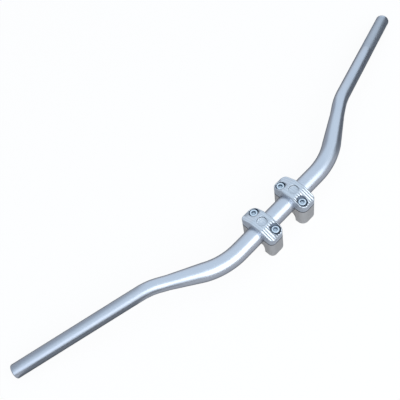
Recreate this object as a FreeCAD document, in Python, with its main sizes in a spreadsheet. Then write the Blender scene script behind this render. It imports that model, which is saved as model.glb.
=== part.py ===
"""Tapered motorcycle handlebar in two riser clamps, laid down on the risers' bases and the tube's ends.

Millimetres. X runs along the tube towards the rider's left hand, Z runs up the clamp screws, and Y
is the way that the arms sweep. The origin is midway between the risers, on the plane of their bases.
"""
import FreeCAD, Part
import math
import os
import re

import Sketcher

Vector = FreeCAD.Vector

# Driving sizes in millimetres, each written once
SIZES = {
    # Tube
    "axis_height": 34.4,          # the tube's axis at the clamps, above the risers' bases
    "clamp_diameter": 28.6,       # the thick middle that the clamps hold
    "grip_diameter": 22.2,        # the thin ends that take the grips
    "tube_wall": 4.0,
    "arm_straight": 14.0,         # thin straight run between the taper and the second bend
    "first_bend_x": 116.2,
    "first_bend_radius": 116.5,
    "second_bend_x": 213.8,
    "second_bend_y": 55.1,
    "second_bend_rise": 10.3,     # above the tube's axis at the clamps
    "second_bend_radius": 94.2,
    "end_x": 423.0,
    "end_y": 123.8,
    "end_gap": 0.1,               # between the laid ends and the surface under them
    # Clamps, cap and riser alike
    "clamp_spacing": 69.8,        # between the middles of the two clamps
    "clamp_width": 29.0,
    "inner_corner": 10.0,
    "outer_corner": 7.5,
    "split_gap": 1.0,             # between cap and riser
    "bar_fit": 0.1,               # round the tube
    "screw_wall": 1.8,            # metal between a counterbore and the clamp's inner wall
    "screw_land": 2.0,            # metal between a screw hole and the tube
    "end_wall": 2.8,              # metal between a counterbore and the clamp's end
    # Caps
    "cap_crown": 6.7,             # metal over the tube
    "roof_flat": 20.0,            # length of the level top
    "cap_end_height": 11.0,       # height of the front and rear walls
    "roof_blend": 10.0,
    "edge_chamfer": 1.2,
    "cap_web": 6.3,               # metal under a screw head
    "recess_diameter": 15.0,
    "recess_depth": 1.6,
    # Risers
    "waist_width": 15.0,
    "foot_length": 15.5,          # full-width stretch at each end of the waist
    "seat_floor": 2.2,            # metal between the tube and the top of the waist
    "mount_diameter": 10.0,
    "mount_web": 4.0,             # metal between the mounting hole and the tube
    "split_chamfer": 0.5,
    # Screws
    "thread_diameter": 8.0,
    "screw_length": 25.0,
    "head_diameter": 13.0,
    "head_height": 8.0,
    "hex_width": 6.0,
    "hex_depth": 4.0,
    "head_clearance": 1.0,        # round the head
    "shank_clearance": 0.5,       # round the shank, in the cap
    "thread_clearance": 0.1,      # round the thread, in the riser
    "tap_reserve": 2.0,           # hole left under the screw's end
}

# Places that several pieces share, as formulas in the driving sizes
CLAMP_X = "clamp_spacing / 2"
INNER_X = f"({CLAMP_X} - clamp_width / 2)"
OUTER_X = f"({CLAMP_X} + clamp_width / 2)"
SEAT_RADIUS = "(clamp_diameter / 2 + bar_fit)"
HEAD_HOLE = "(head_diameter / 2 + head_clearance)"
SHANK_HOLE = "(thread_diameter / 2 + shank_clearance)"
SCREW_X = f"({INNER_X} + screw_wall + {HEAD_HOLE})"
SCREW_Y = f"({SEAT_RADIUS} + screw_land + {SHANK_HOLE})"
HALF_LENGTH = f"({SCREW_Y} + {HEAD_HOLE} + end_wall)"
WAIST_DEPTH = "((clamp_width - waist_width) / 2)"
WAIST_HALF = f"({HALF_LENGTH} - foot_length)"
WAIST_RADIUS = f"(({WAIST_HALF} ^ 2 + {WAIST_DEPTH} ^ 2) / (2 * {WAIST_DEPTH}))"
CAP_FLOOR = "(axis_height + split_gap / 2)"
CAP_EAVES = f"({CAP_FLOOR} + cap_end_height)"
CAP_TOP = "(axis_height + clamp_diameter / 2 + cap_crown)"
RISER_TOP = "(axis_height - split_gap / 2)"
SCREW_SEAT = f"({CAP_FLOOR} + cap_web)"

# Centre line of the tube's left arm, before its corners are rounded
MIDDLE = Vector(0, 0, SIZES["axis_height"])
FIRST_CORNER = Vector(SIZES["first_bend_x"], 0, SIZES["axis_height"])
SECOND_CORNER = Vector(SIZES["second_bend_x"], SIZES["second_bend_y"],
                       SIZES["axis_height"] + SIZES["second_bend_rise"])
END = Vector(SIZES["end_x"], SIZES["end_y"], SIZES["grip_diameter"] / 2 + SIZES["end_gap"])

SAME = 0.01    # lengths that differ by less count as equal
SIDES = 6      # of a screw's socket

doc = FreeCAD.newDocument("Handlebar")
sheet = doc.addObject("Spreadsheet::Sheet", "Sizes")
for row, (alias, size) in enumerate(SIZES.items(), 1):
    sheet.set(f"A{row}", alias)
    sheet.set(f"B{row}", str(size))
    sheet.setAlias(f"B{row}", alias)
doc.recompute()


def bind(thing, prop, formula):
    """Tie a property to the sheet: each size named in the formula becomes its cell."""
    def cell(word):
        return f"Sizes.{word[0]}" if word[0] in SIZES else word[0]
    thing.setExpression(prop, re.sub(r"[a-z_]+", cell, formula))


def add(kind, name, **formulas):
    """Add an object to the document with its sizes tied to the sheet."""
    thing = doc.addObject(kind, name)
    for prop, formula in formulas.items():
        bind(thing, prop, formula)
    return thing


def feature(body, kind, name, **formulas):
    """Add a feature to a body with its sizes tied to the sheet."""
    thing = body.newObject(f"PartDesign::{kind}", name)
    for prop, formula in formulas.items():
        bind(thing, prop, formula)
    return thing


def sketch_on(body, name, role, height=None):
    """Start a sketch on one of the body's own planes, raised from it by a formula."""
    sketch = body.newObject("Sketcher::SketchObject", name)
    plane = next(part for part in body.Origin.OriginFeatures if part.Role == role)
    sketch.AttachmentSupport = [(plane, "")]
    sketch.MapMode = "FlatFace"
    if height:
        bind(sketch, "AttachmentOffset.Base.z", height)
    return sketch


def hold(sketch, kind, *where, formula):
    """Add one dimension to a sketch and tie it to the sheet."""
    index = sketch.addConstraint(Sketcher.Constraint(kind, *where, 1.0))
    bind(sketch, f"Constraints[{index}]", formula)


def draw_outline(sketch, corners):
    """Draw a closed outline of straight lines, with each corner held from the sketch's origin."""
    count = len(corners)
    turn = 2 * math.pi / count
    ring = [Vector(math.cos(turn * k), math.sin(turn * k), 0) for k in range(count)]
    lines = [sketch.addGeometry(Part.LineSegment(ring[k - 1], ring[k])) for k in range(count)]
    for k, (across, up) in enumerate(corners):
        sketch.addConstraint(Sketcher.Constraint("Coincident", lines[k - 1], 2, lines[k], 1))
        hold(sketch, "DistanceX", lines[k], 1, formula=across)
        hold(sketch, "DistanceY", lines[k], 1, formula=up)


def draw_circles(sketch, radius, centres):
    """Draw equal circles, each held by its centre and its radius."""
    for across, up in centres:
        circle = sketch.addGeometry(Part.Circle(Vector(0, 0, 0), Vector(0, 0, 1), 1))
        hold(sketch, "DistanceX", circle, 3, formula=across)
        hold(sketch, "DistanceY", circle, 3, formula=up)
        hold(sketch, "Radius", circle, formula=radius)


def pocket(body, name, sketch, reverse=False, **formulas):
    """Cut a sketch out of the body, right through it where no length is given."""
    cut = feature(body, "Pocket", name, **formulas)
    cut.Profile = sketch
    cut.Type = "Length" if formulas else "ThroughAll"
    cut.Reversed = reverse
    before = body.Shape.Volume
    doc.recompute()
    if body.Shape.Volume >= before:
        raise RuntimeError(f"{name} cuts nothing")
    return cut


def trim(body, kind, name, picks, **formulas):
    """Round or chamfer the edges of the body's last feature that a test picks."""
    base = body.Tip
    names = [f"Edge{k}" for k, edge in enumerate(base.Shape.Edges, 1) if picks(edge)]
    dressed = feature(body, kind, name, **formulas)
    dressed.Base = (base, names)
    doc.recompute()
    return dressed


def near(value, goal):
    """Say whether two lengths are the same."""
    return abs(value - goal) < SAME


def corner(before, at, after, radius):
    """Work out the arc that rounds a corner of the tube's centre line."""
    way_in = (at - before).normalize()
    way_out = (after - at).normalize()
    turn = way_in.getAngle(way_out)
    reach = radius * math.tan(turn / 2)
    axis = way_in.cross(way_out).normalize()
    start = at - way_in * reach
    return {
        "start": start,
        "finish": at + way_out * reach,
        "centre": start + axis.cross(way_in) * radius,
        "axis": axis,
        "turn": turn,
        "way_in": way_in,
        "way_out": way_out,
    }


def aim(direction):
    """Turn a round primitive's axis to a direction."""
    return FreeCAD.Rotation(Vector(0, 0, 1), direction)


def run(name, start, finish, near_radius, far_radius):
    """Make a straight stretch of tube between two points, a cone where its radii differ."""
    way = finish - start
    if near_radius == far_radius:
        piece = add("Part::Cylinder", name, Radius=near_radius)
    else:
        piece = add("Part::Cone", name, Radius1=near_radius, Radius2=far_radius)
    piece.Height = way.Length
    piece.Placement = FreeCAD.Placement(start, aim(way))
    return piece


def bent_run(name, bend, bend_radius, radius):
    """Make a bend of the tube as a stretch of a ring."""
    spoke = (bend["start"] - bend["centre"]).normalize()
    ring = add("Part::Torus", name, Radius1=bend_radius, Radius2=radius)
    ring.Angle3 = math.degrees(bend["turn"])
    ring.Placement = FreeCAD.Placement(
        bend["centre"], FreeCAD.Rotation(spoke, bend["axis"].cross(spoke), bend["axis"], "ZXY"))
    return ring


def tube_solid(name, inset):
    """Make the whole bent tube as one solid, its radius less an inset."""
    thick = f"clamp_diameter / 2 - {inset}"
    thin = f"grip_diameter / 2 - {inset}"
    first = corner(MIDDLE, FIRST_CORNER, SECOND_CORNER, SIZES["first_bend_radius"])
    second = corner(FIRST_CORNER, SECOND_CORNER, END, SIZES["second_bend_radius"])
    taper_finish = second["start"] - second["way_in"] * SIZES["arm_straight"]
    arm = add("Part::MultiFuse", f"{name}_left_arm")
    arm.Shapes = [
        bent_run(f"{name}_first_bend", first, "first_bend_radius", thick),
        run(f"{name}_taper", first["finish"], taper_finish, thick, thin),
        run(f"{name}_arm", taper_finish, second["start"], thin, thin),
        bent_run(f"{name}_second_bend", second, "second_bend_radius", thin),
        run(f"{name}_grip", second["finish"], END, thin, thin),
    ]
    other = mirror(arm, f"{name}_right_arm", Vector(1, 0, 0))
    other_start = Vector(-first["start"].x, first["start"].y, first["start"].z)
    middle = run(f"{name}_middle", other_start, first["start"], thick, thick)
    whole = add("Part::MultiFuse", name)
    whole.Shapes = [other, middle, arm]
    return whole


def mirror(source, name, normal):
    """Mirror a shape in the plane through the origin with a given normal."""
    copy = add("Part::Mirroring", name)
    copy.Source = source
    copy.Normal = normal
    return copy


def make_handlebar():
    """Bent, tapered tube, open at both ends."""
    tube = add("Part::Cut", "Handlebar")
    tube.Label = "handlebar"
    tube.Base = tube_solid("tube_skin", "0")
    tube.Tool = tube_solid("tube_bore", "tube_wall")
    return tube


def clamp_block(body, floor, height):
    """Pad the outline that cap and riser share and round its upright corners."""
    plan = sketch_on(body, f"{body.Name}_plan", "XY_Plane", floor)
    draw_outline(plan, [(INNER_X, f"-{HALF_LENGTH}"), (OUTER_X, f"-{HALF_LENGTH}"),
                        (OUTER_X, HALF_LENGTH), (INNER_X, HALF_LENGTH)])
    block = feature(body, "Pad", f"{body.Name}_block", Length=height)
    block.Profile = plan
    doc.recompute()
    box = body.Shape.BoundBox

    def upright(edge, x):
        return near(edge.BoundBox.ZLength, box.ZLength) and near(edge.BoundBox.XMin, x)

    trim(body, "Fillet", f"{body.Name}_inner_corners", lambda edge: upright(edge, box.XMin),
         Radius="inner_corner")
    trim(body, "Fillet", f"{body.Name}_outer_corners", lambda edge: upright(edge, box.XMax),
         Radius="outer_corner")


def cut_bar_seat(body):
    """Bore the body for the tube."""
    seat = sketch_on(body, f"{body.Name}_seat_circle", "YZ_Plane")
    draw_circles(seat, SEAT_RADIUS, [("0", "axis_height")])
    pocket(body, f"{body.Name}_seat", seat, reverse=True)


def cut_screw_holes(body, name, top, radius, **depth):
    """Sink one round hole at each of the clamp's two screws, from a height down."""
    holes = sketch_on(body, f"{body.Name}_{name}_circles", "XY_Plane", top)
    draw_circles(holes, radius, [(SCREW_X, SCREW_Y), (SCREW_X, f"-{SCREW_Y}")])
    pocket(body, f"{body.Name}_{name}", holes, **depth)


def make_cap():
    """Upper half of a clamp: level over the tube, sloping to its ends, with sunk screw heads."""
    body = doc.addObject("PartDesign::Body", "Cap")
    body.Label = "left_clamp_cap"
    clamp_block(body, CAP_FLOOR, f"{CAP_TOP} - {CAP_FLOOR}")

    # The roof slopes from its level middle to the eaves at both ends
    slopes = sketch_on(body, "Cap_slope_outlines", "YZ_Plane")
    for side in ("", "-"):
        ridge, end, clear = f"{side}roof_flat / 2", f"{side}{HALF_LENGTH}", f"{side}2 * {HALF_LENGTH}"
        draw_outline(slopes, [(ridge, CAP_TOP), (end, CAP_EAVES), (clear, CAP_EAVES), (clear, CAP_TOP)])
    pocket(body, "Cap_slopes", slopes, reverse=True)
    box = body.Shape.BoundBox

    def across_roof(edge):
        level = near(edge.BoundBox.YLength, 0) and near(edge.BoundBox.ZLength, 0)
        return level and not near(edge.BoundBox.YMax, box.YMax) and not near(edge.BoundBox.YMin, box.YMin)

    def crease(edge):
        return across_roof(edge) and near(edge.BoundBox.ZMin, box.ZMax)

    def rim(edge):
        upright = near(edge.BoundBox.XLength, 0) and near(edge.BoundBox.YLength, 0)
        return not upright and not across_roof(edge) and not near(edge.BoundBox.ZMax, box.ZMin)

    trim(body, "Fillet", "Cap_roof_blend", crease, Radius="roof_blend")
    trim(body, "Chamfer", "Cap_rim", rim, Size="edge_chamfer")
    cut_bar_seat(body)
    cut_screw_holes(body, "shank_holes", CAP_TOP, SHANK_HOLE)
    cut_screw_holes(body, "counterbores", CAP_TOP, HEAD_HOLE, Length=f"{CAP_TOP} - {SCREW_SEAT}")
    recess = sketch_on(body, "Cap_recess_circle", "XY_Plane", CAP_TOP)
    draw_circles(recess, "recess_diameter / 2", [(CLAMP_X, "0")])
    pocket(body, "Cap_recess", recess, Length="recess_depth")
    return body


def make_riser():
    """Lower half of a clamp: a block with a waisted foot, tapped for its screws and its mounting bolt."""
    body = doc.addObject("PartDesign::Body", "Riser")
    body.Label = "left_riser"
    clamp_block(body, "0", RISER_TOP)
    box = body.Shape.BoundBox

    waist = sketch_on(body, "Riser_waist_circles", "XY_Plane")
    reach = f"(waist_width / 2 + {WAIST_RADIUS})"
    draw_circles(waist, WAIST_RADIUS, [(f"{CLAMP_X} - {reach}", "0"), (f"{CLAMP_X} + {reach}", "0")])
    pocket(body, "Riser_waist", waist, reverse=True, Length=f"axis_height - {SEAT_RADIUS} - seat_floor")

    def top_rim(edge):
        return near(edge.BoundBox.ZMin, box.ZMax)

    trim(body, "Chamfer", "Riser_split_chamfer", top_rim, Size="split_chamfer")
    cut_bar_seat(body)
    cut_screw_holes(body, "tapped_holes", RISER_TOP, "thread_diameter / 2 + thread_clearance",
                    Length=f"{RISER_TOP} - {SCREW_SEAT} + screw_length + tap_reserve")
    mount = sketch_on(body, "Riser_mount_circle", "XY_Plane")
    draw_circles(mount, "mount_diameter / 2", [(CLAMP_X, "0")])
    pocket(body, "Riser_mount_hole", mount, reverse=True, Length=f"axis_height - {SEAT_RADIUS} - mount_web")
    return body


def make_screw():
    """Socket head cap screw, seated in the left cap's rear counterbore."""
    body = doc.addObject("PartDesign::Body", "Screw")
    profile = sketch_on(body, "Screw_profile", "XZ_Plane")
    head, thread = "head_diameter / 2", "thread_diameter / 2"
    draw_outline(profile, [
        ("0", "head_height"), (head, "head_height"), (head, "0"),
        (thread, "0"), (thread, "-screw_length"), ("0", "-screw_length")])
    turned = feature(body, "Revolution", "Screw_turned")
    turned.Profile = profile
    turned.ReferenceAxis = (profile, ["V_Axis"])
    doc.recompute()

    socket = sketch_on(body, "Screw_hexagon", "XY_Plane", "head_height")
    corners = [2 * math.pi * k / SIDES for k in range(SIDES)]
    draw_outline(socket, [(f"hex_width / sqrt(3) * {math.cos(turn):.6f}",
                           f"hex_width / sqrt(3) * {math.sin(turn):.6f}") for turn in corners])
    pocket(body, "Screw_socket", socket, Length="hex_depth")
    for way, formula in (("x", SCREW_X), ("y", SCREW_Y), ("z", SCREW_SEAT)):
        bind(body, f"Placement.Base.{way}", formula)
    return body


def make_screws():
    """All four clamp screws, as one group of separate solids."""
    rear_left = make_screw()
    front_left = mirror(rear_left, "Screw_front_left", Vector(0, 1, 0))
    rear_right = mirror(rear_left, "Screw_rear_right", Vector(1, 0, 0))
    front_right = mirror(rear_right, "Screw_front_right", Vector(0, 1, 0))
    group = add("Part::Compound", "Screws")
    group.Label = "clamp_screws"
    group.Links = [rear_left, front_left, rear_right, front_right]
    return group


def with_mirror_image(left, label):
    """Return a left-hand piece and its right-hand mirror image."""
    right = mirror(left, label, Vector(1, 0, 0))
    right.Label = label
    return [left, right]


nodes = [
    make_handlebar(),
    *with_mirror_image(make_riser(), "right_riser"),
    *with_mirror_image(make_cap(), "right_clamp_cap"),
    make_screws(),
]
doc.recompute()
for thing in doc.Objects:
    if {"Invalid", "Error"} & set(thing.State):
        raise RuntimeError(f"{thing.Label} failed: {thing.State}")
for node in nodes:
    if node.Shape.isNull() or not node.Shape.isValid():
        raise RuntimeError(f"{node.Label} has no valid shape")
os.makedirs("parts", exist_ok=True)
for node in nodes:
    node.Shape.exportStep(f"parts/{node.Label}.step")
    print(f"{node.Label}: solids {len(node.Shape.Solids)}, volume {node.Shape.Volume:.0f} mm3")
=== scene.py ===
"""Dress a tapered motorcycle handlebar in its two riser clamps and set it on a white studio floor.

Sizes are in millimetres until a mesh is made, and metres in Blender. X runs along the tube towards the
rider's left hand, Y is the way that the arms sweep, and Z runs up the clamp screws.
"""

import logging
import math
from dataclasses import dataclass, field
from enum import Enum
from typing import Any

import bmesh
import bpy
import numpy as np
from mathutils import Matrix


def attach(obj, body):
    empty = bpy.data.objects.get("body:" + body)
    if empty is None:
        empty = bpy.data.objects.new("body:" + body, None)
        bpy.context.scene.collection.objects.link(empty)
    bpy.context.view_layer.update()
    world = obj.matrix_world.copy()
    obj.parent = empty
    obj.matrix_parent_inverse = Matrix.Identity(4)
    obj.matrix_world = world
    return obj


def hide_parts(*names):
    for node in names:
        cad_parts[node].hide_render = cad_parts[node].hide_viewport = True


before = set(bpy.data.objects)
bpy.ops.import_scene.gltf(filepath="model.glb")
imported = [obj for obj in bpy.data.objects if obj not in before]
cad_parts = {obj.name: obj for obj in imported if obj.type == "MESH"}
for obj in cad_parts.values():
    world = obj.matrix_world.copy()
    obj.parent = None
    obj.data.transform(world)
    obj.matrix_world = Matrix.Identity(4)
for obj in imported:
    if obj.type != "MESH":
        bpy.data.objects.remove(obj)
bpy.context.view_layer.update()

MM = 0.001                # metres in a millimetre
BODY = "root"             # nothing on the part moves, so every piece rides on its one body
WHITE = "#ffffff"

CUTTER_PITCH = 3.8        # between the cutter's lines on the caps, coarser than the real 2 or so to show
SKIN_MAP = "along_and_around"     # the tube's UV map
KNURL = "knurl"                   # the attribute that is 1 on the knurl
SCREW_SHADE = "painted_shade"                   # the attribute that is 1 where a screw gets the most painted shade

MIX_A, MIX_B, MIX_RESULT = 6, 7, 2        # a Mix node's sockets for colours, among those for other types
MARK_DETAIL, MARK_CRISPNESS = 3.0, 0.6    # octaves in the noise of a tool's marks, and what each keeps
MARK_STRENGTH = 0.5                       # of the bump that a tool's marks give
NOISE_LOW, NOISE_HIGH = 0.3, 0.7          # nearly all values of a noise lie between these

Point = tuple[float, float, float]
log = logging.getLogger("handlebar")


class Slot(Enum):
    """Material slots of the part's record."""

    TUBE = "anodised_tube"
    CLAMP = "machined_clamp"
    SCREW = "plated_screw"


class Side(Enum):
    """The rider's two hands, each with the sign of its X."""

    LEFT = 1
    RIGHT = -1


def linear(code: str) -> tuple[float, float, float, float]:
    """Turn an sRGB hex colour to linear light.

    Args:
        code: six hex digits after a hash.

    Returns:
        Red, green, blue and full alpha.
    """
    parts = (int(code[k:k + 2], 16) / 255 for k in (1, 3, 5))
    red, green, blue = (p / 12.92 if p <= 0.04045 else ((p + 0.055) / 1.055) ** 2.4 for p in parts)
    return red, green, blue, 1.0


def add_node(tree: bpy.types.NodeTree, kind: str, inputs: dict[Any, Any] | None = None,
             **settings: Any) -> bpy.types.Node:
    """Add a node, set it and wire it.

    Args:
        tree: the node tree that takes it.
        kind: the node's type.
        inputs: a value or an output socket for each input that isn't left at its default, by the
            input's name or number.
        settings: the node's own properties.

    Returns:
        The new node.
    """
    node = tree.nodes.new(kind)
    for name, value in settings.items():
        setattr(node, name, value)
    for name, value in (inputs or {}).items():
        if isinstance(value, bpy.types.NodeSocket):
            tree.links.new(value, node.inputs[name])
        else:
            node.inputs[name].default_value = value
    return node


def new_material(name: str) -> tuple[bpy.types.Material, bpy.types.NodeTree]:
    """Start a material with an empty node tree.

    Args:
        name: the material's name.

    Returns:
        The material and its tree.
    """
    material = bpy.data.materials.new(name)
    material.use_nodes = True
    material.node_tree.nodes.clear()
    return material, material.node_tree


def white_share(tree: bpy.types.NodeTree, camera: float, metal: float) -> bpy.types.NodeSocket:
    """Work out the share of even white that a ray sees of the background.

    Args:
        tree: the node tree that takes the nodes.
        camera: the camera's share.
        metal: the share of reflected and bent rays.

    Returns:
        The socket of the ray's share, which is none for the light that falls on things.
    """
    ray = add_node(tree, "ShaderNodeLightPath")
    bent = add_node(tree, "ShaderNodeMath", {
        0: ray.outputs["Is Glossy Ray"], 1: ray.outputs["Is Transmission Ray"]}, operation="MAXIMUM")
    reflected = add_node(tree, "ShaderNodeMath", {
        0: bent.outputs["Value"], 1: metal}, operation="MULTIPLY")
    share = add_node(tree, "ShaderNodeMath", {
        0: ray.outputs["Is Camera Ray"], 1: camera, 2: reflected.outputs["Value"]},
        operation="MULTIPLY_ADD")
    return share.outputs["Value"]


@dataclass(frozen=True)
class AnodisedAluminium:
    """Drawn aluminium tube, etched and clear anodised: satin silver with faint lines along its length."""

    name: str = "clear_anodised_drawn_aluminium"
    colour: str = "#dcdfe6"
    shade: str = "#cfd4de"
    roughness: float = 0.32
    roughness_swing: float = 0.03
    knurl_roughness: float = 0.14  # added to the tube's own
    knurl_tone: str = "#eeefef"    # what the tone is multiplied by on the knurl
    edge_tint: str = "#7c7a78"     # darker reflection where the surface turns away
    line_length: float = 45.0      # of one drawing line
    line_width: float = 0.7
    cloud: float = 35.0            # width of the faint patches that etching leaves
    cloud_detail: float = 2.0      # octaves in the noise of those patches
    bump: float = 0.002

    def material(self) -> bpy.types.Material:
        """Build the finish.

        Returns:
            A metal whose drawing lines follow the tube's own UV map, rougher and darker on the knurl.
        """
        material, tree = new_material(self.name)
        uv = add_node(tree, "ShaderNodeUVMap", uv_map=SKIN_MAP)
        stretched = add_node(tree, "ShaderNodeMapping", {
            "Vector": uv.outputs["UV"],
            "Scale": (1 / (self.line_length * MM), 1 / (self.line_width * MM), 1.0)})
        lines = add_node(tree, "ShaderNodeTexNoise", {
            "Vector": stretched.outputs["Vector"], "Scale": 1.0,
            "Detail": MARK_DETAIL, "Roughness": MARK_CRISPNESS})
        place = add_node(tree, "ShaderNodeTexCoord")
        patches = add_node(tree, "ShaderNodeTexNoise", {
            "Vector": place.outputs["Object"], "Scale": 1 / (self.cloud * MM), "Detail": self.cloud_detail})
        tone = add_node(tree, "ShaderNodeMix", {
            "Factor": patches.outputs["Fac"], MIX_A: linear(self.shade), MIX_B: linear(self.colour)},
            data_type="RGBA")
        knurl = add_node(tree, "ShaderNodeAttribute", attribute_name=KNURL)
        skin = add_node(tree, "ShaderNodeMix", {
            "Factor": knurl.outputs["Fac"], MIX_A: tone.outputs[MIX_RESULT], MIX_B: linear(self.knurl_tone)},
            data_type="RGBA", blend_type="MULTIPLY")
        satin = add_node(tree, "ShaderNodeMapRange", {
            "Value": lines.outputs["Fac"], "From Min": NOISE_LOW, "From Max": NOISE_HIGH,
            "To Min": self.roughness - self.roughness_swing,
            "To Max": self.roughness + self.roughness_swing})
        rough = add_node(tree, "ShaderNodeMath", {
            0: knurl.outputs["Fac"], 1: self.knurl_roughness, 2: satin.outputs["Result"]},
            operation="MULTIPLY_ADD")
        relief = add_node(tree, "ShaderNodeBump", {
            "Height": lines.outputs["Fac"], "Strength": MARK_STRENGTH, "Distance": self.bump * MM})
        metal = add_node(tree, "ShaderNodeBsdfPrincipled", {
            "Base Color": skin.outputs[MIX_RESULT], "Metallic": 1.0, "Roughness": rough.outputs["Value"],
            "Specular Tint": linear(self.edge_tint), "Normal": relief.outputs["Normal"]})
        add_node(tree, "ShaderNodeOutputMaterial", {"Surface": metal.outputs["BSDF"]})
        return material


@dataclass(frozen=True)
class SunkHole:
    """A round hole in a cap's top, with painted shade on its walls, and its mirror images across the part's
    middle planes.
    """

    x: float
    y: float
    radius: float
    wall_shade_tone: str                 # painted shade: what the tone is multiplied by on the walls


@dataclass(frozen=True)
class MachinedAluminium:
    """Milled aluminium, clear anodised: fine feed marks in one direction over a satin silver."""

    name: str
    colour: str
    shade: str
    edge_tint: str = "#f0f2f5"
    roughness: float = 0.42
    roughness_swing: float = 0.07
    mark_pitch: Point = (0.5, 14.0, 14.0)            # size of a feed mark along X, Y and Z
    bump: float = 0.012
    line_pitch: float = CUTTER_PITCH
    line_width: float = 1.5
    line_shade_tone: str = WHITE         # painted shade: what a line's tone is multiplied by, white for none
    faint_line_shade: float = 0.15       # strength of the painted line shade off the front slope
    roof_lean: tuple[float, float] = (0.7, 0.8)      # Z of a normal, from no roof to roof
    front_lean: tuple[float, float] = (-0.3, -0.12)  # Y of a normal, from the front slope to the level top
    wall_lean: float = 0.5         # a face in a hole is its wall where the Z of its normal is less
    sunk: tuple[SunkHole, ...] = ()
    seam: tuple[float, float] = (33.3, 35.4)         # heights between which cap meets riser
    # painted shade in the gap where cap meets riser
    seam_shade_tone: str = "#5a5b60"

    def material(self) -> bpy.types.Material:
        """Build the finish.

        Returns:
            A metal with noise stretched along the cutter's way, for its tone, gloss and relief.
        """
        material, tree = new_material(self.name)
        place = add_node(tree, "ShaderNodeTexCoord").outputs["Object"]
        stretched = add_node(tree, "ShaderNodeMapping", {
            "Vector": place, "Scale": tuple(1 / (size * MM) for size in self.mark_pitch)})
        marks = add_node(tree, "ShaderNodeTexNoise", {
            "Vector": stretched.outputs["Vector"], "Scale": 1.0,
            "Detail": MARK_DETAIL, "Roughness": MARK_CRISPNESS}).outputs["Fac"]
        tone = add_node(tree, "ShaderNodeMix", {
            "Factor": marks, MIX_A: linear(self.shade), MIX_B: linear(self.colour)}, data_type="RGBA")
        axes = add_node(tree, "ShaderNodeSeparateXYZ", {"Vector": place})
        facing = add_node(tree, "ShaderNodeNewGeometry")
        lean = add_node(tree, "ShaderNodeSeparateXYZ", {"Vector": facing.outputs["True Normal"]})
        # painted shade in the cutter's lines
        skin = self.paint_line_shade(tree, tone.outputs[MIX_RESULT], axes.outputs["X"], lean)
        # painted shade along the seam between cap and riser
        skin = self.paint_seam_shade(tree, skin, axes.outputs["Z"])
        # painted shade on the walls of the sunk holes
        skin = self.paint_wall_shade(tree, skin, place, lean.outputs["Z"])
        rough = add_node(tree, "ShaderNodeMapRange", {
            "Value": marks, "From Min": NOISE_LOW, "From Max": NOISE_HIGH,
            "To Min": self.roughness - self.roughness_swing,
            "To Max": self.roughness + self.roughness_swing})
        relief = add_node(tree, "ShaderNodeBump", {
            "Height": marks, "Strength": MARK_STRENGTH, "Distance": self.bump * MM})
        metal = add_node(tree, "ShaderNodeBsdfPrincipled", {
            "Base Color": skin, "Metallic": 1.0, "Roughness": rough.outputs["Result"],
            "Specular Tint": linear(self.edge_tint), "Normal": relief.outputs["Normal"]})
        add_node(tree, "ShaderNodeOutputMaterial", {"Surface": metal.outputs["BSDF"]})
        return material

    def paint_line_shade(self, tree: bpy.types.NodeTree, skin: bpy.types.NodeSocket, x: bpy.types.NodeSocket,
                   lean: bpy.types.Node) -> bpy.types.NodeSocket:
        """Paint shade into the cutter's lines along Y, in full on the front slope and faintly on the rest of
        the roof.

        Args:
            tree: the finish's node tree.
            skin: the tone so far.
            x: the place along X.
            lean: the node that splits the face's normal.

        Returns:
            The tone with the painted line shade.
        """
        away = add_node(tree, "ShaderNodeMath", {0: x, 1: self.line_pitch / 2 * MM}, operation="PINGPONG")
        line = add_node(tree, "ShaderNodeMapRange", {
            "Value": away.outputs["Value"], "From Min": 0.0, "From Max": self.line_width * MM,
            "To Min": 1.0, "To Max": 0.0}, interpolation_type="SMOOTHSTEP")
        upward = add_node(tree, "ShaderNodeMapRange", {
            "Value": lean.outputs["Z"], "From Min": self.roof_lean[0], "From Max": self.roof_lean[1]})
        front = add_node(tree, "ShaderNodeMapRange", {
            "Value": lean.outputs["Y"], "From Min": self.front_lean[0], "From Max": self.front_lean[1],
            "To Min": 1.0, "To Max": self.faint_line_shade})
        roof = add_node(tree, "ShaderNodeMath", {
            0: upward.outputs["Result"], 1: front.outputs["Result"]}, operation="MULTIPLY")
        share = add_node(tree, "ShaderNodeMath", {
            0: line.outputs["Result"], 1: roof.outputs["Value"]}, operation="MULTIPLY")
        line_shaded = add_node(tree, "ShaderNodeMix", {
            "Factor": share.outputs["Value"], MIX_A: skin, MIX_B: linear(self.line_shade_tone)},
            data_type="RGBA", blend_type="MULTIPLY")
        return line_shaded.outputs[MIX_RESULT]

    def paint_seam_shade(self, tree: bpy.types.NodeTree, skin: bpy.types.NodeSocket,
                    z: bpy.types.NodeSocket) -> bpy.types.NodeSocket:
        """Paint shade on the edges where cap and riser face each other over the clamp's split.

        Args:
            tree: the finish's node tree.
            skin: the tone so far.
            z: the height.

        Returns:
            The tone with the painted seam shade.
        """
        low, high = self.seam
        inside = add_node(tree, "ShaderNodeMath", {
            0: z, 1: (low + high) / 2 * MM, 2: (high - low) / 2 * MM}, operation="COMPARE")
        seam_shaded = add_node(tree, "ShaderNodeMix", {
            "Factor": inside.outputs["Value"], MIX_A: skin, MIX_B: linear(self.seam_shade_tone)},
            data_type="RGBA", blend_type="MULTIPLY")
        return seam_shaded.outputs[MIX_RESULT]

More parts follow.
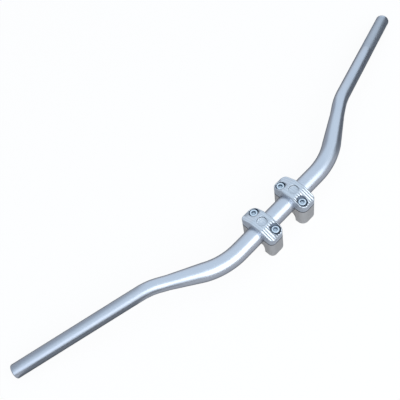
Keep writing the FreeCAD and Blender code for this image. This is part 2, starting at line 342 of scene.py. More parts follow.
    def paint_wall_shade(self, tree: bpy.types.NodeTree, skin: bpy.types.NodeSocket, place: bpy.types.NodeSocket,
                     upward: bpy.types.NodeSocket) -> bpy.types.NodeSocket:
        """Darken the walls of the sunk holes with painted shade.

        Args:
            tree: the finish's node tree.
            skin: the tone so far.
            place: the place on the part.
            upward: Z of the face's normal.

        Returns:
            The tone with the painted shade on the walls.
        """
        mirrored = add_node(tree, "ShaderNodeVectorMath", {0: place}, operation="ABSOLUTE")
        plan = add_node(tree, "ShaderNodeVectorMath", {
            0: mirrored.outputs["Vector"], 1: (1.0, 1.0, 0.0)}, operation="MULTIPLY")
        steep = add_node(tree, "ShaderNodeMath", {0: upward, 1: self.wall_lean}, operation="LESS_THAN")
        for hole in self.sunk:
            away = add_node(tree, "ShaderNodeVectorMath", {
                0: plan.outputs["Vector"], 1: (hole.x * MM, hole.y * MM, 0.0)}, operation="DISTANCE")
            inside = add_node(tree, "ShaderNodeMath", {
                0: away.outputs["Value"], 1: hole.radius * MM}, operation="LESS_THAN")
            wall = add_node(tree, "ShaderNodeMath", {
                0: inside.outputs["Value"], 1: steep.outputs["Value"]}, operation="MULTIPLY")
            walls_shaded = add_node(tree, "ShaderNodeMix", {
                "Factor": wall.outputs["Value"], MIX_A: skin, MIX_B: linear(hole.wall_shade_tone)},
                data_type="RGBA", blend_type="MULTIPLY")
            skin = walls_shaded.outputs[MIX_RESULT]
        return skin


@dataclass(frozen=True)
class ZincPlatedSteel:
    """Steel screws in bright zinc: a bluish silver with a fine grain from the bath."""

    name: str = "bright_zinc_plated_steel"
    colour: str = "#eef6fc"
    shade: str = "#d3e0ec"
    painted_shade_tone: str = "#8d97a2"    # painted shade: what the tone is multiplied by in the knurl and the socket
    roughness: float = 0.22
    brighter: float = 0.05         # what the grain takes off the roughness at most
    duller: float = 0.1            # what it adds at most
    grain: float = 1.6             # width of the plating's patches
    grain_detail: float = 3.0      # octaves in the noise of those patches
    bump: float = 0.01
    bump_strength: float = 0.4

    def material(self) -> bpy.types.Material:
        """Build the finish.

        Returns:
            A metal with patchy tone and gloss, and painted shade in the sockets and knurls.
        """
        material, tree = new_material(self.name)
        place = add_node(tree, "ShaderNodeTexCoord")
        grain = add_node(tree, "ShaderNodeTexNoise", {
            "Vector": place.outputs["Object"], "Scale": 1 / (self.grain * MM), "Detail": self.grain_detail})
        tone = add_node(tree, "ShaderNodeMix", {
            "Factor": grain.outputs["Fac"], MIX_A: linear(self.shade), MIX_B: linear(self.colour)},
            data_type="RGBA")
        # painted shade in the socket and on the knurl
        shade_mask = add_node(tree, "ShaderNodeAttribute", attribute_name=SCREW_SHADE)
        darkened = add_node(tree, "ShaderNodeMix", {
            "Factor": shade_mask.outputs["Fac"], MIX_A: tone.outputs[MIX_RESULT], MIX_B: linear(self.painted_shade_tone)},
            data_type="RGBA", blend_type="MULTIPLY")
        rough = add_node(tree, "ShaderNodeMapRange", {
            "Value": grain.outputs["Fac"], "To Min": self.roughness - self.brighter,
            "To Max": self.roughness + self.duller})
        relief = add_node(tree, "ShaderNodeBump", {
            "Height": grain.outputs["Fac"], "Strength": self.bump_strength, "Distance": self.bump * MM})
        metal = add_node(tree, "ShaderNodeBsdfPrincipled", {
            "Base Color": darkened.outputs[MIX_RESULT], "Metallic": 1.0, "Roughness": rough.outputs["Result"],
            "Normal": relief.outputs["Normal"]})
        add_node(tree, "ShaderNodeOutputMaterial", {"Surface": metal.outputs["BSDF"]})
        return material


@dataclass(frozen=True)
class StudioPaper:
    """White paper: white to the eye with a faint shadow, and greyer where it lights and mirrors in metal."""

    name: str = "white_studio_paper"
    colour: str = "#94959a"        # where it lights and mirrors
    camera_glow: float = 0.92      # share of even white in what the camera sees; the rest takes shadow
    metal_glow: float = 0.32       # the same in what metal reflects, which shows more of the shadow

    def material(self) -> bpy.types.Material:
        """Build the finish.

        Returns:
            Matt white, mixed with an even white glow for the camera's and the metals' rays.
        """
        material, tree = new_material(self.name)
        ray = add_node(tree, "ShaderNodeLightPath")
        tone = add_node(tree, "ShaderNodeMix", {
            "Factor": ray.outputs["Is Camera Ray"], MIX_A: linear(self.colour), MIX_B: linear(WHITE)},
            data_type="RGBA")
        matt = add_node(tree, "ShaderNodeBsdfDiffuse", {"Color": tone.outputs[MIX_RESULT]})
        glow = add_node(tree, "ShaderNodeEmission", {"Color": linear(WHITE), "Strength": 1.0})
        share = white_share(tree, self.camera_glow, self.metal_glow)
        mix = add_node(tree, "ShaderNodeMixShader", {
            0: share, 1: matt.outputs["BSDF"], 2: glow.outputs["Emission"]})
        add_node(tree, "ShaderNodeOutputMaterial", {"Surface": mix.outputs["Shader"]})
        return material


def put_in_scene(name: str, data: bpy.types.ID) -> bpy.types.Object:
    """Make an object and link it to the scene.

    Args:
        name: the object's name.
        data: its mesh, lamp or camera.

    Returns:
        The object, at the origin.
    """
    thing = bpy.data.objects.new(name, data)
    bpy.context.scene.collection.objects.link(thing)
    return thing


def surface_object(name: str, points: np.ndarray, rows_close: bool, ends_filled: bool) -> bpy.types.Object:
    """Make one object of closed surfaces given on grids.

    Args:
        name: the object's name.
        points: millimetres, indexed by shell, row, column and axis. Columns run round and always close.
        rows_close: whether the last row joins the first.
        ends_filled: whether the first and the last row are filled with a flat face.

    Returns:
        The object, in the scene, with its faces pointing outwards where columns cross rows that way.
    """
    shells, rows, columns, _ = points.shape
    index = np.arange(shells * rows * columns).reshape(shells, rows, columns)
    here = index if rows_close else index[:, :-1]
    onward = np.roll(index, -1, axis=1) if rows_close else index[:, 1:]
    quads = np.stack([here, np.roll(here, -1, axis=2), np.roll(onward, -1, axis=2), onward], axis=-1)
    faces = quads.reshape(-1, 4).tolist()
    if ends_filled:
        faces += index[:, 0, ::-1].tolist() + index[:, -1].tolist()
    mesh = bpy.data.meshes.new(name)
    mesh.from_pydata((points.reshape(-1, 3) * MM).tolist(), [], faces)
    mesh.validate()
    return put_in_scene(name, mesh)


def mesh_points(mesh: bpy.types.Mesh) -> np.ndarray:
    """Read a mesh's points.

    Args:
        mesh: the mesh.

    Returns:
        Metres, indexed by point and axis.
    """
    points = np.empty(len(mesh.vertices) * 3)
    mesh.vertices.foreach_get("co", points)
    return points.reshape(-1, 3)


def mark_points(piece: bpy.types.Object, name: str, values: np.ndarray) -> None:
    """Write the attribute that a finish reads on a piece.

    Args:
        piece: the piece.
        name: the attribute's name.
        values: one for each point.
    """
    marks = piece.data.attributes.new(name, "FLOAT", "POINT")
    marks.data.foreach_set("value", values.astype(np.float32))


def shade(piece: bpy.types.Object, sharp_angle: float) -> None:
    """Shade a piece smooth, but for its edges that turn by more than an angle in degrees."""
    piece.data.shade_smooth()
    piece.data.set_sharp_from_angle(angle=math.radians(sharp_angle))


def hand_over(piece: bpy.types.Object, finish: bpy.types.Material, node: str) -> None:
    """Give a piece its finish and hand it over, riding on the part's body.

    Args:
        piece: the piece.
        finish: its only material.
        node: the solid that it stands for.
    """
    piece.data.materials.clear()
    piece.data.materials.append(finish)
    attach(piece, BODY)
    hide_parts(node)
    log.info("%s: %d faces, stands for %s", piece.name, len(piece.data.polygons), node)


def turned(vectors: np.ndarray, axis: np.ndarray, angle: np.ndarray) -> np.ndarray:
    """Turn vectors about an axis by Rodrigues' formula.

    Args:
        vectors: one vector, or one for each angle.
        axis: unit axis.
        angle: radians, one for each result.

    Returns:
        The turned vectors.
    """
    cos, sin = np.cos(angle)[:, None], np.sin(angle)[:, None]
    along = (vectors @ axis)[..., None] * axis
    return vectors * cos + np.cross(axis, vectors) * sin + along * (1 - cos)


@dataclass
class Bend:
    """One bend of the tube's centre line, as an arc between two straight runs."""

    before: np.ndarray
    corner: np.ndarray
    after: np.ndarray
    radius: float
    way_in: np.ndarray = field(init=False)
    way_out: np.ndarray = field(init=False)
    turn: float = field(init=False)
    axis: np.ndarray = field(init=False)
    start: np.ndarray = field(init=False)

    def __post_init__(self) -> None:
        """Work out the arc from its corner and radius."""
        self.way_in = (self.corner - self.before) / np.linalg.norm(self.corner - self.before)
        self.way_out = (self.after - self.corner) / np.linalg.norm(self.after - self.corner)
        self.turn = math.acos(float(self.way_in @ self.way_out))
        across = np.cross(self.way_in, self.way_out)
        self.axis = across / np.linalg.norm(across)
        self.start = self.corner - self.way_in * self.reach

    @property
    def reach(self) -> float:
        """Length from the corner to either end of the arc."""
        return self.radius * math.tan(self.turn / 2)

    @property
    def length(self) -> float:
        """Length of the arc."""
        return self.radius * self.turn


@dataclass
class HandlebarTube:
    """The bent, tapered tube with a knurled end, as one closed skin, outside and bore."""

    axis_height: float = 34.4
    clamp_diameter: float = 28.6
    grip_diameter: float = 22.2
    wall: float = 4.0
    arm_straight: float = 14.0     # thin and straight, between the taper and the second bend
    first_corner: Point = (116.2, 0.0, 34.4)
    first_radius: float = 116.5
    second_corner: Point = (213.8, 55.1, 44.7)
    second_radius: float = 94.2
    end: Point = (423.0, 123.8, 11.2)
    lip: float = 1.7               # radius of the rounded edges at both ends
    knurl_length: float = 88.0
    knurl_margin: float = 3.0      # plain tube between the knurl and the end
    knurl_edge: float = 0.5        # between the knurl's ends and the nearest plain rings
    knurl_depth: float = 0.16
    knurls_round: int = 40         # coarser than the real knurl, to show
    columns: int = 160             # four to a diamond of the knurl
    rings_on_diamond: int = 4
    rings_on_runs: tuple[int, ...] = (8, 28, 10, 3, 20)   # of an arm, from the middle to the grip
    rings_on_grip: int = 14        # where it is plain
    rings_before_knurl: int = 8
    rings_after_knurl: int = 3
    rings_on_lip: int = 6          # on each quarter turn
    sharp_angle: float = 60.0
    bends: list[Bend] = field(init=False)
    breaks: np.ndarray = field(init=False)

    def __post_init__(self) -> None:
        """Lay out the left arm's centre line and the lengths at which its form changes."""
        middle = np.array([0.0, 0.0, self.axis_height])
        first, second, end = (np.array(p) for p in (self.first_corner, self.second_corner, self.end))
        self.bends = [Bend(middle, first, second, self.first_radius),
                      Bend(first, second, end, self.second_radius)]
        one, two = self.bends
        runs = [np.linalg.norm(one.start - middle), one.length,
                np.linalg.norm(second - first) - one.reach - two.reach - self.arm_straight,
                self.arm_straight, two.length, np.linalg.norm(end - second) - two.reach]
        self.breaks = np.concatenate([[0.0], np.cumsum(runs)])

    @property
    def half_length(self) -> float:
        """Length of the centre line from the middle to an end."""
        return float(self.breaks[-1])

    @property
    def knurl_pitch(self) -> float:
        """Width of a diamond round the tube, and its length along it."""
        return math.pi * self.grip_diameter / self.knurls_round

    def radius(self, along: np.ndarray) -> np.ndarray:
        """Outer radius at lengths along the arm: thick, then falling evenly over the taper, then thin."""
        return np.interp(along, self.breaks[[2, 3]], [self.clamp_diameter / 2, self.grip_diameter / 2])

    def centre_line(self, along: np.ndarray) -> tuple[np.ndarray, np.ndarray, np.ndarray]:
        """Follow the left arm's centre line.

        The line is straight, turns on the first arc, is straight, turns on the second arc and is straight.
        The frame turns about each arc's axis with it and isn't twisted elsewhere.

        Args:
            along: lengths from the middle of the tube.

        Returns:
            Points, and the two unit normals across the line, one of each for every length.
        """
        one, two = self.bends
        first_turn = np.clip((along - self.breaks[1]) / one.radius, 0, one.turn)
        second_turn = np.clip((along - self.breaks[4]) / two.radius, 0, two.turn)

        def across(vector: np.ndarray) -> np.ndarray:
            """Turn a vector with both bends."""
            return turned(turned(vector, one.axis, first_turn), two.axis, second_turn)

        spoke_one = -np.cross(one.axis, one.way_in) * one.radius
        spoke_two = -np.cross(two.axis, two.way_in) * two.radius
        lead = np.minimum(along, self.breaks[1])[:, None] * one.way_in
        link = np.clip(along - self.breaks[2], 0, self.breaks[4] - self.breaks[2])[:, None] * two.way_in
        tail = np.maximum(along - self.breaks[5], 0)[:, None] * two.way_out
        points = (np.array([0.0, 0.0, self.axis_height]) + lead + link + tail
                  + turned(spoke_one, one.axis, first_turn) - spoke_one
                  + turned(spoke_two, two.axis, second_turn) - spoke_two)
        up = np.array([0.0, 0.0, 1.0])
        return points, across(up), across(np.cross(one.way_in, up))

    def stations(self) -> tuple[np.ndarray, np.ndarray, np.ndarray]:
        """List the rings of the skin, out along the tube, round one end, back through the bore and round.

        Returns:
            Signed length from the middle, inset from the outer radius, and how knurled each ring is.
        """
        last = self.half_length - self.lip
        knurl_end = last - self.knurl_margin
        knurl_start = knurl_end - self.knurl_length
        spans = [np.linspace(a, b, n, endpoint=False)
                 for a, b, n in zip(self.breaks[:5], self.breaks[1:6], self.rings_on_runs)]
        smooth = np.concatenate(spans)
        plain = np.concatenate([smooth, np.linspace(self.breaks[5], last, self.rings_on_grip)])
        rings = np.arange(0, self.knurl_length, self.knurl_pitch / self.rings_on_diamond) + knurl_start
        lead = np.linspace(self.breaks[5], knurl_start - self.knurl_edge, self.rings_before_knurl)
        tail = np.linspace(knurl_end + self.knurl_edge, last, self.rings_after_knurl)
        out = np.concatenate([-plain[:0:-1], smooth, lead, rings, tail])
        bend = np.radians(np.linspace(0, 90, self.rings_on_lip))
        lip_out = np.concatenate([last + self.lip * np.sin(bend[1:]), last + self.lip * np.cos(bend)])
        lip_in = np.concatenate([self.lip * (1 - np.cos(bend[1:])),
                                 self.wall - self.lip * (1 - np.sin(bend))])
        bore = plain[1:-1]
        back = np.concatenate([bore[::-1], [0.0], -bore])
        along = np.concatenate([out, lip_out, back, -lip_out[::-1]])
        inset = np.concatenate([np.zeros(len(out)), lip_in, np.full(len(back), self.wall), lip_in[::-1]])
        on = (along >= rings[0]) & (along <= rings[-1]) & (inset == 0)
        return along, inset, on.astype(float)

    def knurl(self, along: np.ndarray, angle: np.ndarray) -> np.ndarray:
        """Depth of a diamond knurl.

        Two sets of grooves wind round the tube in opposite ways. The depth falls evenly from the nearest
        groove to the diamonds' tips, which stay at the tube's own radius.

        Args:
            along: lengths, as a column.
            angle: radians round the tube, as a row.

        Returns:
            Depth below the tips for each length and angle.
        """
        step, turn = along / self.knurl_pitch, angle * self.knurls_round / (2 * math.pi)
        ways = [np.abs(mix - np.round(mix)) for mix in (step + turn, step - turn)]
        return self.knurl_depth * (1 - 2 * np.minimum(*ways))

    def build(self) -> bpy.types.Object:
        """Carry a circle along the centre line.

        Returns:
            The tube, with a UV map in metres along and around it and its knurl as an attribute.
        """
        along, inset, knurled = self.stations()
        angle = np.arange(self.columns) * 2 * math.pi / self.columns
        centre, normal, side = self.centre_line(np.abs(along))
        start = along[knurled > 0].min()
        depth = self.knurl((along - start)[:, None], angle[None]) * knurled[:, None]
        reach = (self.radius(np.abs(along)) - inset)[:, None] - depth
        spokes = (np.cos(angle)[None, :, None] * normal[:, None]
                  + np.sin(angle)[None, :, None] * side[:, None])
        points = centre[:, None] + reach[..., None] * spokes
        points[along < 0, :, 0] *= -1
        piece = surface_object("anodised_tube_skin", points[None], rows_close=True, ends_filled=False)
        self.map_skin(piece.data, along, angle)
        mark_points(piece, KNURL, np.repeat(knurled, self.columns))
        shade(piece, self.sharp_angle)
        return piece

    def map_skin(self, mesh: bpy.types.Mesh, along: np.ndarray, angle: np.ndarray) -> None:
        """Write the UV map: length along the tube and length round it, in metres.

        Args:
            mesh: the tube's mesh, with its quads in ring order.
            along: signed length of each ring.
            angle: angle of each column.
        """
        rows, columns = len(along), len(angle)
        u = np.stack([along, np.roll(along, -1)], axis=1)[:, [0, 0, 1, 1]]
        v = np.stack([angle, angle + 2 * math.pi / columns], axis=1)[:, [0, 1, 1, 0]]
        grid = np.empty((rows, columns, 4, 2), np.float32)
        grid[..., 0] = u[:, None] * MM
        grid[..., 1] = v[None] * self.grip_diameter / 2 * MM
        layer = mesh.uv_layers.new(name=SKIN_MAP)
        layer.data.foreach_set("uv", grid.ravel())


@dataclass
class Clamp:
    """One clamp: a waisted riser under the tube and a screwed cap over it, both milled."""

    side: Side
    cutter_pitch: float = CUTTER_PITCH
    cutter_depth: float = 0.08
    slice_width: float = 0.25      # of the strips that the roof is cut in to carry the cutter's lines
    slice_slack: float = 0.0001    # within which a cut takes a point that is there already
    roof_tilt: float = 0.75        # least upward lean of a face that the cutter has passed over
    eaves: float = 44.0            # the roof lies above this height
    weld: float = 0.002            # within which corners of the solid's triangles are one point
    flat_angle: float = 0.3        # degrees, up to which neighbouring triangles are one flat face
    riser_sharp_angle: float = 30.0
    cap_sharp_angle: float = 50.0

    @property
    def hand(self) -> str:
        """The side's name as the nodes have it."""
        return self.side.name.lower()

    def merged_copy(self, node: str, name: str) -> bpy.types.Object:
        """Copy a solid's mesh, join its loose triangles and give flat faces back their outlines.

        Args:
            node: the solid's node.
            name: the copy's name.

        Returns:
            The copy, at the origin.
        """
        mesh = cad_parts[node].data.copy()
        mesh.name = name
        work = bmesh.new()
        work.from_mesh(mesh)
        bmesh.ops.remove_doubles(work, verts=work.verts, dist=self.weld * MM)
        bmesh.ops.dissolve_limit(work, angle_limit=math.radians(self.flat_angle), verts=work.verts,
                                 edges=work.edges)
        work.to_mesh(mesh)
        work.free()
        return put_in_scene(name, mesh)

    @staticmethod
    def soften(piece: bpy.types.Object, sharp_angle: float) -> None:
        """Shade edges up to an angle as rounded, with flat faces kept flat.

        Args:
            piece: the riser or the cap.
            sharp_angle: degrees.
        """
        shade(piece, sharp_angle)
        weighted = piece.modifiers.new("flat_faces_first", "WEIGHTED_NORMAL")
        weighted.keep_sharp = True

    def build_riser(self) -> bpy.types.Object:
        """Make the riser from its solid.

        Returns:
            The riser.
        """
        piece = self.merged_copy(f"{self.hand}_riser", f"{self.hand}_riser_body")
        self.soften(piece, self.riser_sharp_angle)
        return piece

    def build_cap(self) -> bpy.types.Object:
        """Make the cap from its solid, with the cutter's lines along its roof.

        The roof is cut in narrow strips along Y, whose edges then sink to the lines' depth.

        Returns:
            The cap.
        """
        piece = self.merged_copy(f"{self.hand}_clamp_cap", f"{self.hand}_cap_body")
        mesh = piece.data
        xs = mesh_points(mesh)[:, 0]
        cuts = np.arange(xs.min() + self.slice_width * MM, xs.max(), self.slice_width * MM)
        work = bmesh.new()
        work.from_mesh(mesh)
        for x in cuts.tolist():
            roof = [f for f in work.faces
                    if f.normal.z > self.roof_tilt and f.calc_center_median().z > self.eaves * MM]
            parts = {part for f in roof for part in (*f.verts, *f.edges)}
            bmesh.ops.bisect_plane(work, geom=[*parts, *roof], dist=self.slice_slack * MM,
                                   plane_co=(x, 0, 0), plane_no=(1, 0, 0))
        work.to_mesh(mesh)
        work.free()
        self.cut_lines(mesh)
        self.soften(piece, self.cap_sharp_angle)
        return piece

    def cut_lines(self, mesh: bpy.types.Mesh) -> None:
        """Sink the roof's points by the cutter's lines: depth times the size of sin(pi x / pitch).

        Args:
            mesh: the cap's mesh, with its roof in strips.
        """
        points = mesh_points(mesh)
        normals = np.empty(len(mesh.polygons) * 3)
        mesh.polygons.foreach_get("normal", normals)
        totals = np.empty(len(mesh.polygons), int)
        mesh.polygons.foreach_get("loop_total", totals)
        corners = np.empty(len(mesh.loops), int)
        mesh.loops.foreach_get("vertex_index", corners)
        roof_face = np.repeat(normals.reshape(-1, 3)[:, 2] > self.roof_tilt, totals)
        touches = np.bincount(corners, weights=roof_face, minlength=len(points))
        inside = (touches > 0) & (points[:, 2] > self.eaves * MM)
        wave = np.abs(np.sin(math.pi * points[:, 0] / (self.cutter_pitch * MM)))
        points[:, 2] -= self.cutter_depth * MM * wave * inside
        mesh.vertices.foreach_set("co", points.ravel())
        mesh.update()

    def dress(self, riser_finish: bpy.types.Material, cap_finish: bpy.types.Material) -> bpy.types.Object:
        """Build both halves and hand them over.

        Args:
            riser_finish: the riser's material.
            cap_finish: the cap's material.

        Returns:
            The cap.
        """
        hand_over(self.build_riser(), riser_finish, f"{self.hand}_riser")
        cap = self.build_cap()
        hand_over(cap, cap_finish, f"{self.hand}_clamp_cap")
        return cap


@dataclass
class ClampScrews:
    """Four socket head cap screws, sunk in the caps."""

    x: float = 29.7
    y: float = 20.9
    seat: float = 41.2             # height under the heads
    head_diameter: float = 13.0
    head_height: float = 8.0
    hex_width: float = 6.0
    hex_depth: float = 4.0
    thread_diameter: float = 8.0
    length: float = 25.0
    cone: tuple[float, float] = (0.2, 0.9)   # the socket's drilled floor: share of it left flat, and depth
    mouth: tuple[tuple[float, float], ...] = (
        (1.0, 0.55), (1.1, 0.1), (1.24, 0.0))      # the socket's flare: times its width, down from the top
    rim: tuple[tuple[float, float], ...] = (
        (1.3, 0.0), (0.8, 0.12), (0.4, 0.4), (0.0, 1.0))   # a head's rounded edge: in from its side, down
    under_edge: float = 0.3        # chamfer under a head
    fillet: tuple[float, float] = (0.4, 0.5)   # width and height of the corner between head and thread
    tip: float = 0.9               # chamfer at a thread's end
    socket_shade: tuple[float, ...] = (0.2, 0.7, 0.9, 0.2)   # painted shade, from the socket's floor to its mouth
    head_shade: tuple[float, ...] = (0.0, 0.0, 0.2, 0.9, 1.0, 1.0, 1.0)   # painted shade, from there to the seat
    ridges: int = 48               # of the knurl round a head
    ridge_depth: float = 0.25
    columns: int = 192
    sharp_angle: float = 40.0

    def outline(self) -> tuple[np.ndarray, slice, slice]:
        """Draw a screw's outline, from the floor of its socket over the head to the end of its thread.

        Returns:
            Radius, height over the seat and painted shade of each point, then which points are on the
            hexagon and which are on the knurl.
        """
        head, top, thread = self.head_diameter / 2, self.head_height, self.thread_diameter / 2
        half, floor = self.hex_width / 2, self.head_height - self.hex_depth
        mouth = [(half * share, top - down) for share, down in self.mouth]
        rim = [(head - inward, top - down) for inward, down in self.rim]
        socket = [(half * self.cone[0], floor - self.cone[1]), (half, floor), *mouth[:2]]
        face = [mouth[2], *rim[:2]]
        knurled = [*rim[2:], (head, self.under_edge)]
        shank = [(head - self.under_edge, 0.0), (thread + self.fillet[0], 0.0), (thread, -self.fillet[1]),
                 (thread, self.tip - self.length), (thread - self.tip, -self.length)]
        points = np.array(socket + face + knurled + shank)
        shade_values = self.socket_shade + self.head_shade
        painted_shade = np.zeros(len(points))
        painted_shade[:len(shade_values)] = shade_values
        start = len(socket) + len(face)
        return np.column_stack([points, painted_shade]), slice(len(socket)), slice(start, start + len(knurled))

    def build(self) -> bpy.types.Object:
        """Turn the outline about each screw's axis, with a hexagon for a socket and a knurl round the head.

        A hexagon's radius at an angle is half its width over the cosine of the angle from the nearest flat.
        The knurl's depth at an angle goes up and down as half of one less the cosine of angle times ridges.

        Returns:
            All four screws, with painted shade in their sockets and knurls as an attribute.
        """
        profile, hexagon, knurled = self.outline()
        angle = np.arange(self.columns) * 2 * math.pi / self.columns
        flat = np.mod(angle, math.pi / 3) - math.pi / 6
        reach = np.repeat(profile[:, :1], self.columns, axis=1)
        reach[hexagon] /= np.cos(flat)
        reach[knurled] -= self.ridge_depth * (1 - np.cos(angle * self.ridges)) / 2
        screw = np.stack([reach * np.cos(angle), reach * np.sin(angle),
                          np.repeat(profile[:, 1:2], self.columns, axis=1)], axis=-1)
        places = np.array([(sx * self.x, sy * self.y, self.seat) for sx in (1, -1) for sy in (1, -1)])
        points = (screw[None] + places[:, None, None])[:, ::-1]
        piece = surface_object("clamp_screw_set", points, rows_close=False, ends_filled=True)
        mark_points(piece, SCREW_SHADE, np.tile(np.repeat(profile[::-1, 2], self.columns), len(places)))
        shade(piece, self.sharp_angle)
        return piece


@dataclass(frozen=True)
class SoftLamp:
    """A soft rectangular lamp that is turned to the middle of the part."""

    name: str
    colour: str
    power: float                   # watts
    place: Point                   # of its middle
    size: tuple[float, float]      # width and height


@dataclass(frozen=True)
class DarkCard:
    """A folded card beside a grip, given by the two ends of its near edge and of its far edge.

    The card lies on the floor from its near edge to the foot of its far edge and stands up from there.
    """

    side: Side
    tone: str
    near: tuple[Point, Point]
    far: tuple[Point, Point]


@dataclass
class Studio:
    """White floor, soft light and the camera."""

    azimuth: float = -33.0066      # of the camera about the part, degrees
    elevation: float = 58.3136
    roll: float = -14.8523
    distance: float = 1007.597
    aim: Point = (-59.837, 104.949, 34.4)
    lens: float = 59.521
    sensor: float = 36.0
    sight: tuple[float, float] = (10.0, 50000.0)     # nearest and farthest that the camera sees
    floor_size: float = 6000.0
    floor_gap: float = 0.2         # under the part, so that no two faces share a plane
    zenith: str = "#daecfc"
    rear_horizon: str = "#e2eaf4"
    front_horizon: str = "#56585e"
    sky_rise: float = 0.5          # sine of the elevation at which the sky is at its brightest
    wall_turn: tuple[float, float] = (-0.3, 0.6)     # Y of a way, from the front wall's tone to the rear's
    dim_corner: str = "#a9aaae"    # what the sky is multiplied by behind the right hand
    dim_way: Point = (-0.7, 0.71, 0.0)               # towards that corner
    dim_edge: tuple[float, float] = (0.42, 0.62)     # a way's dot product with it, from undimmed to dimmed
    metal_white: float = 0.1       # share of even white in what metal sees of the room
    lamps: tuple[SoftLamp, ...] = (
        SoftLamp("front_window", "#fbfeff", 15.0, (-20.0, -1380.0, 1010.0), (1900.0, 1800.0)),
        SoftLamp("side_panel", "#eef1ff", 1.2, (-1250.0, -650.0, 915.0), (1000.0, 1000.0)),
    )
    cap_lamps: tuple[SoftLamp, ...] = (
        SoftLamp("front_cap_spot", "#fffdf4", 1.35, (260.0, -430.0, 760.0), (420.0, 420.0)),
        SoftLamp("rear_cap_spot", "#fbfeff", 0.3, (240.0, 790.0, 340.0), (420.0, 420.0)),
    )
    cards: tuple[DarkCard, ...] = (
        DarkCard(Side.LEFT, "#aaa8a7", near=((238.0, 56.0, 0.0), (425.0, 116.0, 0.0)),
                 far=((215.0, -72.0, 125.0), (620.0, 217.0, 14.0))),
        DarkCard(Side.RIGHT, "#868483", near=((-242.0, 45.0, 0.0), (-426.0, 114.0, 0.0)),
                 far=((-270.0, -108.0, 50.0), (-470.0, 30.0, 50.0))),
    )

    def build(self) -> None:
        """Set the floor, the cards, the sky, the lamps and the camera."""
        self.lay_floor()
        for card in self.cards:
            self.stand_card(card)
        self.light_sky()
        for lamp in self.lamps:
            self.hang(lamp)
        self.place_camera()
        bpy.context.scene.view_settings.view_transform = "Standard"

    @staticmethod
    def sheet(name: str, points: np.ndarray, faces: list[tuple[int, ...]],
              paper: bpy.types.Material) -> bpy.types.Object:
        """Make a sheet of paper from its corners.

        Args:
            name: the sheet's name.
            points: its corners, millimetres.
            faces: the corners of each flat face.
            paper: its material.

        Returns:
            The sheet, in the scene.
        """
        mesh = bpy.data.meshes.new(name)
        mesh.from_pydata((points * MM).tolist(), [], faces)
        mesh.materials.append(paper)
        return put_in_scene(name, mesh)

    def lay_floor(self) -> None:
        """Lay a flat white floor under the part."""
        square = np.array([(-1, -1, 0), (1, -1, 0), (1, 1, 0), (-1, 1, 0)]) * self.floor_size / 2
        floor = self.sheet("studio_floor", square - (0.0, 0.0, self.floor_gap), [(0, 1, 2, 3)],
                           StudioPaper().material())

    def stand_card(self, made: DarkCard) -> None:
        """Set a folded dark card beside a grip, for the metal alone to see, that gives it a dark edge.

        Args:
            made: the card's side, tone and edges.
        """
        name = f"{made.side.name.lower()}_dark_card"
        paper, tree = new_material(f"{name}_paper")
        matt = add_node(tree, "ShaderNodeBsdfDiffuse", {"Color": linear(made.tone)})
        add_node(tree, "ShaderNodeOutputMaterial", {"Surface": matt.outputs["BSDF"]})
        far = np.array(made.far)
        points = np.concatenate([np.array(made.near), far * (1.0, 1.0, 0.0), far])
        card = self.sheet(name, points, [(0, 1, 3, 2), (2, 3, 5, 4)], paper)
        card.visible_camera = card.visible_diffuse = card.visible_shadow = False

    def light_sky(self) -> None:
        """Light the room from a pale blue ceiling, dimmer towards its grey walls."""
        world = bpy.data.worlds.new("studio_room")
        world.use_nodes = True
        tree = world.node_tree
        tree.nodes.clear()
        way = add_node(tree, "ShaderNodeTexCoord").outputs["Generated"]
        parts = add_node(tree, "ShaderNodeSeparateXYZ", {"Vector": way})
        rise = add_node(tree, "ShaderNodeMapRange", {
            "Value": parts.outputs["Z"], "From Min": 0.0, "From Max": self.sky_rise},
            interpolation_type="SMOOTHSTEP")
        rear = add_node(tree, "ShaderNodeMapRange", {
            "Value": parts.outputs["Y"], "From Min": self.wall_turn[0], "From Max": self.wall_turn[1]},
            interpolation_type="SMOOTHSTEP")
        walls = add_node(tree, "ShaderNodeMix", {
            "Factor": rear.outputs["Result"], MIX_A: linear(self.front_horizon),
            MIX_B: linear(self.rear_horizon)}, data_type="RGBA")
        tone = add_node(tree, "ShaderNodeMix", {
            "Factor": rise.outputs["Result"], MIX_A: walls.outputs[MIX_RESULT], MIX_B: linear(self.zenith)},
            data_type="RGBA")
        aside = add_node(tree, "ShaderNodeVectorMath", {0: way, 1: self.dim_way}, operation="DOT_PRODUCT")
        corner = add_node(tree, "ShaderNodeMapRange", {
            "Value": aside.outputs["Value"], "From Min": self.dim_edge[0], "From Max": self.dim_edge[1]},
            interpolation_type="SMOOTHSTEP")
        room = add_node(tree, "ShaderNodeMix", {
            "Factor": corner.outputs["Result"], MIX_A: tone.outputs[MIX_RESULT],
            MIX_B: linear(self.dim_corner)}, data_type="RGBA", blend_type="MULTIPLY")
        seen = add_node(tree, "ShaderNodeMix", {
            "Factor": white_share(tree, 1.0, self.metal_white), MIX_A: room.outputs[MIX_RESULT],
            MIX_B: linear(WHITE)}, data_type="RGBA")
        sky = add_node(tree, "ShaderNodeBackground", {"Color": seen.outputs[MIX_RESULT], "Strength": 1.0})
        add_node(tree, "ShaderNodeOutputWorld", {"Surface": sky.outputs["Background"]})
        bpy.context.scene.world = world

    def hang(self, lamp: SoftLamp) -> bpy.types.Object:
        """Hang one soft lamp.

        Args:
            lamp: its name, light and place.

        Returns:
            The lamp's object.
        """
        data = bpy.data.lights.new(lamp.name, "AREA")
        data.shape = "RECTANGLE"
        data.size, data.size_y = (s * MM for s in lamp.size)
        data.energy = lamp.power
        data.color = linear(lamp.colour)[:3]
        place = np.array(lamp.place)
        back = place / np.linalg.norm(place)
        right = np.cross((0.0, 0.0, 1.0), back)
        right /= np.linalg.norm(right)
        hung = put_in_scene(lamp.name, data)
        self.stand(hung, place, right, back)
        return hung

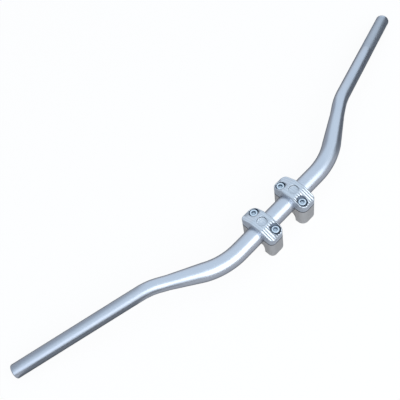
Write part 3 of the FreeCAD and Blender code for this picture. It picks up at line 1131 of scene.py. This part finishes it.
    def light_caps(self, caps: list[bpy.types.Object]) -> None:
        """Hang small lamps over the clamps that light the caps alone, as spots with snoots do.

        Args:
            caps: both caps.
        """
        lit = bpy.data.collections.new("lit_caps")
        for cap in caps:
            lit.objects.link(cap)
        for lamp in self.cap_lamps:
            self.hang(lamp).light_linking.receiver_collection = lit

    @staticmethod
    def stand(thing: bpy.types.Object, place: np.ndarray, right: np.ndarray, back: np.ndarray) -> None:
        """Place a lamp or the camera.

        Args:
            thing: the lamp or the camera.
            place: millimetres.
            right: the unit way to its right.
            back: the unit way against its light or its sight.
        """
        matrix = np.eye(4)
        matrix[:3] = np.stack([right, np.cross(back, right), back, place * MM], axis=1)
        thing.matrix_world = Matrix(matrix.tolist())

    def place_camera(self) -> None:
        """Stand the camera where the photograph was taken from."""
        azimuth, elevation, roll = (math.radians(a) for a in (self.azimuth, self.elevation, self.roll))
        back = np.array([math.sin(azimuth) * math.cos(elevation), -math.cos(azimuth) * math.cos(elevation),
                         math.sin(elevation)])
        level = np.array([math.cos(azimuth), math.sin(azimuth), 0.0])
        right = level * math.cos(roll) + np.cross(back, level) * math.sin(roll)
        data = bpy.data.cameras.new("photo_camera")
        data.lens, data.sensor_width = self.lens, self.sensor
        data.clip_start, data.clip_end = (s * MM for s in self.sight)
        camera = put_in_scene("photo_camera", data)
        self.stand(camera, np.array(self.aim) + self.distance * back, right, back)
        bpy.context.scene.camera = camera


def main() -> None:
    """Build each sub-assembly in order and dress it."""
    logging.basicConfig(level=logging.INFO, format="%(name)s %(message)s")
    studio = Studio()
    studio.build()
    hand_over(HandlebarTube().build(), AnodisedAluminium().material(), "handlebar")
    screws = ClampScrews()
    # both finishes paint shade along the seam where cap meets riser
    riser_finish = MachinedAluminium("milled_riser_aluminium", colour="#f0efee", shade="#dedddc",
                                     edge_tint="#b6b5b4", mark_pitch=(6.0, 6.0, 0.6)).material()
    # painted shade on the walls of the counterbores and of the recess
    counterbore = SunkHole(screws.x, screws.y, radius=7.6, wall_shade_tone="#a4abb4")
    recess = SunkHole(x=34.9, y=0.0, radius=7.6, wall_shade_tone="#5d636c")
    # painted shade in the cutter's lines on the caps
    cap_finish = MachinedAluminium("milled_cap_aluminium", colour="#dde2e9", shade="#cbd2db", roughness=0.5,
                                   line_shade_tone="#84888d", sunk=(counterbore, recess)).material()
    studio.light_caps([Clamp(side).dress(riser_finish, cap_finish) for side in Side])
    hand_over(screws.build(), ZincPlatedSteel().material(), "clamp_screws")


if __name__ == "__main__":
    main()
